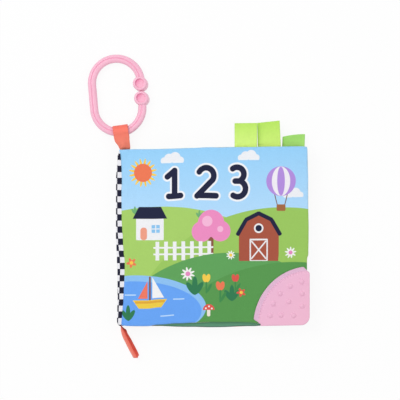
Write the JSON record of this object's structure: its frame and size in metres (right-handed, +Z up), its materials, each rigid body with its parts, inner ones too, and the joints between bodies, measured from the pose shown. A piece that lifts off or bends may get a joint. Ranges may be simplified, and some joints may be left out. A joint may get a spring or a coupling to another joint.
{
  "type": "baby activity book",
  "caption": "Soft cloth baby book whose padded crinkle leaves turn about a checkered spine, with a link ring, ribbon tabs and a silicone corner teether.",
  "frame": {"origin": "middle of the back cover's flat underside, on which the closed book lies", "axes": "+Z up through the closed leaves to the front cover, +Y to the head with the tabs and the ring, +X from the spine to the fore edge"},
  "size_m": [0.1901, 0.2617, 0.0225],
  "materials": {
    "cover_print": "printed polyester cloth, smooth, padded",
    "back_print": "printed polyester cloth, smooth, padded",
    "page_print_a": "printed polyester cloth, smooth, padded",
    "page_print_b": "printed polyester cloth, smooth, padded",
    "page_print_c": "printed polyester cloth, smooth, padded",
    "page_print_d": "printed polyester cloth, smooth, padded",
    "page_print_e": "printed polyester cloth, smooth, padded",
    "page_print_f": "printed polyester cloth, smooth, padded",
    "page_print_g": "printed polyester cloth, smooth, padded",
    "page_print_h": "printed polyester cloth, smooth, padded",
    "checkered_cloth": "black and white checkered cotton cloth",
    "crinkle_film": "thin clear crinkle film",
    "wadding": "loose polyester wadding",
    "pink_silicone": "soft matt food-grade silicone",
    "pink_plastic": "moulded plastic, satin gloss",
    "coral_ribbon": "woven satin-edged ribbon",
    "lime_ribbon": "woven ribbon",
    "green_ribbon": "woven ribbon"
  },
  "bodies": {
    "back_cover": {"back_cover_front_cloth": "page_print_g", "back_cover_back_cloth": "back_print", "back_cover_crinkle_film": "crinkle_film", "back_cover_wadding": "wadding", "back_cover_spine_binding": "checkered_cloth"},
    "page_3": {"page_3_front_cloth": "page_print_e", "page_3_back_cloth": "page_print_h", "page_3_crinkle_film": "crinkle_film", "page_3_wadding": "wadding", "page_3_spine_binding": "checkered_cloth"},
    "page_2": {"page_2_front_cloth": "page_print_c", "page_2_back_cloth": "page_print_f", "page_2_crinkle_film": "crinkle_film", "page_2_wadding": "wadding", "page_2_spine_binding": "checkered_cloth"},
    "page_1": {"page_1_front_cloth": "page_print_a", "page_1_back_cloth": "page_print_d", "page_1_crinkle_film": "crinkle_film", "page_1_wadding": "wadding", "page_1_spine_binding": "checkered_cloth"},
    "front_cover": {"front_cover_front_cloth": "cover_print", "front_cover_back_cloth": "page_print_b", "front_cover_crinkle_film": "crinkle_film", "front_cover_wadding": "wadding", "front_cover_spine_binding": "checkered_cloth", "corner_teether": "pink_silicone"},
    "first_lime_tab": {"first_lime_tab": "lime_ribbon"},
    "second_lime_tab": {"second_lime_tab": "lime_ribbon"},
    "green_tab": {"green_tab": "green_ribbon"},
    "ring_ribbon": {"ring_ribbon": "coral_ribbon"},
    "link_ring": {"link_ring": "pink_plastic"},
    "spine_foot_tag": {"spine_foot_tag": "coral_ribbon"}
  },
  "joints": [
    {"name": "page_3_turn", "type": "hinge", "parent": "back_cover", "child": "page_3", "pos_m": [-0.0822, 0, 0.01035], "axis": [0, -1, 0], "range_deg": [0, 180]},
    {"name": "page_2_turn", "type": "hinge", "parent": "page_3", "child": "page_2", "pos_m": [-0.0822, 0, 0.01035], "axis": [0, -1, 0], "range_deg": [0, 180]},
    {"name": "page_1_turn", "type": "hinge", "parent": "page_2", "child": "page_1", "pos_m": [-0.0822, 0, 0.01035], "axis": [0, -1, 0], "range_deg": [0, 180]},
    {"name": "cover_turn", "type": "hinge", "parent": "page_1", "child": "front_cover", "pos_m": [-0.0822, 0, 0.01035], "axis": [0, -1, 0], "range_deg": [0, 180]},
    {"name": "ribbon_bend", "type": "hinge", "parent": "back_cover", "child": "ring_ribbon", "pos_m": [-0.0754, 0.07685, 0.00195], "axis": [1, 0, 0], "range_deg": [-60, 30]},
    {"name": "ring_swing", "type": "hinge", "parent": "ring_ribbon", "child": "link_ring", "pos_m": [-0.07746, 0.09096, 0.00575], "axis": [0.9962, 0.0872, 0], "range_deg": [-85, 85]},
    {"name": "first_tab_bend", "type": "hinge", "parent": "page_1", "child": "first_lime_tab", "pos_m": [0.0288, 0.07685, 0.01455], "axis": [1, 0, 0], "range_deg": [-70, 70], "stiffness_Nm_per_rad": 0.0006},
    {"name": "second_tab_bend", "type": "hinge", "parent": "page_2", "child": "second_lime_tab", "pos_m": [0.0486, 0.07685, 0.01035], "axis": [1, 0, 0], "range_deg": [-70, 70], "stiffness_Nm_per_rad": 0.0006},
    {"name": "green_tab_bend", "type": "hinge", "parent": "page_3", "child": "green_tab", "pos_m": [0.0696, 0.07685, 0.00615], "axis": [1, 0, 0], "range_deg": [-70, 70], "stiffness_Nm_per_rad": 0.0006},
    {"name": "foot_tag_bend", "type": "hinge", "parent": "back_cover", "child": "spine_foot_tag", "pos_m": [-0.0794, -0.07695, 0.0058], "axis": [0, 0, 1], "range_deg": [-30, 30], "stiffness_Nm_per_rad": 0.0006}
  ]
}
